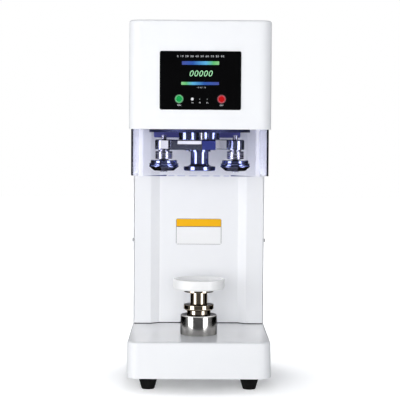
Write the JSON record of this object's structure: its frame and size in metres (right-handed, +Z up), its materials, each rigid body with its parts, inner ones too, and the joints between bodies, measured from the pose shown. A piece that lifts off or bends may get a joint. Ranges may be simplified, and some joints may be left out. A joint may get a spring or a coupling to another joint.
{
  "type": "can seamer",
  "caption": "Bench-top can seamer: white column and head, clear guard, lever-mounted seaming rollers around a fixed chuck, and a rising can tray on a steel post.",
  "frame": {"origin": "on the floor, under the middle of the machine's footprint", "axes": "+Z up, +X to the operator's right, +Y towards the machine's back; the front faces -Y"},
  "size_m": [0.246, 0.306, 0.6276],
  "materials": {
    "white_shell": "smooth white moulded shell",
    "white_sheet": "white powder coat",
    "plate_steel": "grey zinc-plated sheet",
    "rubber": "moulded rubber",
    "screw_black": "black oxide",
    "screw_zinc": "zinc plated",
    "frame_steel": "bent sheet steel",
    "clear_guard": "clear acrylic",
    "panel_black": "black glass panel",
    "display": "display module",
    "ring_steel": "polished ring",
    "start_green": "lit green cap",
    "stop_red": "lit red cap",
    "board_green": "circuit board",
    "supply_case": "perforated case",
    "socket_black": "moulded socket",
    "polished_steel": "polished turned steel",
    "dark_steel": "blued steel disc",
    "bearing_steel": "ground bearing steel",
    "machined_aluminium": "machined aluminium",
    "motor_black": "black motor case",
    "belt_rubber": "ribbed belt",
    "bronze": "cast bronze",
    "spring_steel": "spring wire",
    "white_nylon": "turned white nylon",
    "carbon_steel": "ground steel"
  },
  "bodies": {
    "frame": {"base_cover": "white_shell", "base_plate": "plate_steel", "rubber_feet": "rubber", "foot_screws": "screw_zinc", "column_frame": "frame_steel", "column_front_panel": "white_sheet", "column_side_panels": "white_sheet", "rear_cover": "white_sheet", "cover_screws": "screw_black", "head_housing": "white_shell", "head_bottom_plate": "frame_steel", "safety_guard": "clear_guard", "control_panel_glass": "panel_black", "display_module": "display", "button_rings": "ring_steel", "panel_board": "board_green", "power_supply": "supply_case", "control_board": "board_green", "power_inlet": "socket_black", "switch_housing": "socket_black", "head_plate": "frame_steel", "bearing_housing": "machined_aluminium", "bearing_outer_rings": "bearing_steel", "main_motor": "motor_black", "drive_belt": "belt_rubber", "chuck_bridge": "machined_aluminium", "chuck_shaft": "carbon_steel", "seaming_chuck": "polished_steel", "shift_actuator": "motor_black", "lift_guide": "polished_steel", "lift_stand": "frame_steel", "lift_motor": "motor_black", "lift_belt": "belt_rubber"},
    "carrier": {"carrier_disc": "dark_steel", "hollow_spindle": "carbon_steel", "bearing_inner_rings": "bearing_steel", "spindle_pulley": "machined_aluminium", "pivot_posts": "polished_steel", "return_springs": "spring_steel"},
    "motor_rotor": {"motor_pulley": "machined_aluminium"},
    "sleeve": {"shift_sleeve": "carbon_steel"},
    "fork": {"shift_fork": "bronze"},
    "lever_1": {"seaming_lever_1": "polished_steel", "crank_shaft_1": "carbon_steel", "roller_pin_1": "polished_steel"},
    "roller_1": {"seaming_roller_1": "polished_steel"},
    "lever_2": {"seaming_lever_2": "polished_steel", "crank_shaft_2": "carbon_steel", "roller_pin_2": "polished_steel"},
    "roller_2": {"seaming_roller_2": "polished_steel"},
    "screw": {"lift_screw": "carbon_steel"},
    "lift_rotor": {"lift_motor_pulley": "machined_aluminium"},
    "ram": {"lift_ram": "polished_steel", "lift_nut": "bronze", "lock_ring": "polished_steel"},
    "tray": {"height_stem": "polished_steel", "can_tray": "white_nylon"},
    "start_button": {"start_button": "start_green"},
    "stop_button": {"stop_button": "stop_red"},
    "rocker": {"power_rocker": "socket_black"}
  },
  "joints": [
    {"name": "carrier_spin", "type": "hinge", "parent": "frame", "child": "carrier", "pos_m": [0, -0.053, 0.444], "axis": [0, 0, -1], "continuous": true},
    {"name": "motor_spin", "type": "hinge", "parent": "frame", "child": "motor_rotor", "pos_m": [0, 0.088, 0.509], "axis": [0, 0, -1], "continuous": true},
    {"name": "fork_slide", "type": "slide", "parent": "frame", "child": "fork", "axis": [0, 0, -1], "range_m": [0, 0.0083], "stiffness_N_per_m": 900, "springref_m": -0.02},
    {"name": "sleeve_slide", "type": "slide", "parent": "carrier", "child": "sleeve", "axis": [0, 0, -1], "range_m": [0, 0.0083]},
    {"name": "lever_swing_1", "type": "hinge", "parent": "carrier", "child": "lever_1", "pos_m": [-0.0186, -0.098, 0.418], "axis": [0, 0, -1], "range_deg": [0, 9.18]},
    {"name": "lever_swing_2", "type": "hinge", "parent": "carrier", "child": "lever_2", "pos_m": [0.0186, -0.008, 0.418], "axis": [0, 0, -1], "range_deg": [0, 9.18]},
    {"name": "roller_spin_1", "type": "hinge", "parent": "lever_1", "child": "roller_1", "pos_m": [-0.0624, -0.053, 0.382], "axis": [0, 0, 1], "continuous": true},
    {"name": "roller_spin_2", "type": "hinge", "parent": "lever_2", "child": "roller_2", "pos_m": [0.0624, -0.053, 0.382], "axis": [0, 0, 1], "continuous": true},
    {"name": "screw_spin", "type": "hinge", "parent": "frame", "child": "screw", "pos_m": [0, -0.053, 0.06], "axis": [0, 0, 1], "range_deg": [0, 2232.5]},
    {"name": "lift_slide", "type": "slide", "parent": "frame", "child": "ram", "axis": [0, 0, 1], "range_m": [0, 0.031]},
    {"name": "lift_motor_spin", "type": "hinge", "parent": "frame", "child": "lift_rotor", "pos_m": [0, 0.012, 0.045], "axis": [0, 0, 1], "range_deg": [0, 3348.5]},
    {"name": "height_slide", "type": "slide", "parent": "ram", "child": "tray", "axis": [0, 0, 1], "range_m": [0, 0.012]},
    {"name": "start_press", "type": "slide", "parent": "frame", "child": "start_button", "axis": [0, 1, 0], "range_m": [0, 0.0015], "stiffness_N_per_m": 600, "springref_m": -0.001},
    {"name": "stop_press", "type": "slide", "parent": "frame", "child": "stop_button", "axis": [0, 1, 0], "range_m": [0, 0.0015], "stiffness_N_per_m": 600, "springref_m": -0.001},
    {"name": "rocker_tilt", "type": "hinge", "parent": "frame", "child": "rocker", "pos_m": [0.012, 0.143, 0.1254], "axis": [1, 0, 0], "range_deg": [0, 20]}
  ],
  "couplings": [
    {"joint": "motor_spin", "follows": "carrier_spin", "ratio": 2.3889},
    {"joint": "sleeve_slide", "follows": "fork_slide", "ratio": 1},
    {"joint": "lever_swing_1", "follows": "fork_slide", "rad_per_m": 19.277},
    {"joint": "lever_swing_2", "follows": "fork_slide", "rad_per_m": 19.277},
    {"joint": "screw_spin", "follows": "lift_slide", "rad_per_m": 1256.6},
    {"joint": "lift_motor_spin", "follows": "lift_slide", "rad_per_m": 1885}
  ]
}
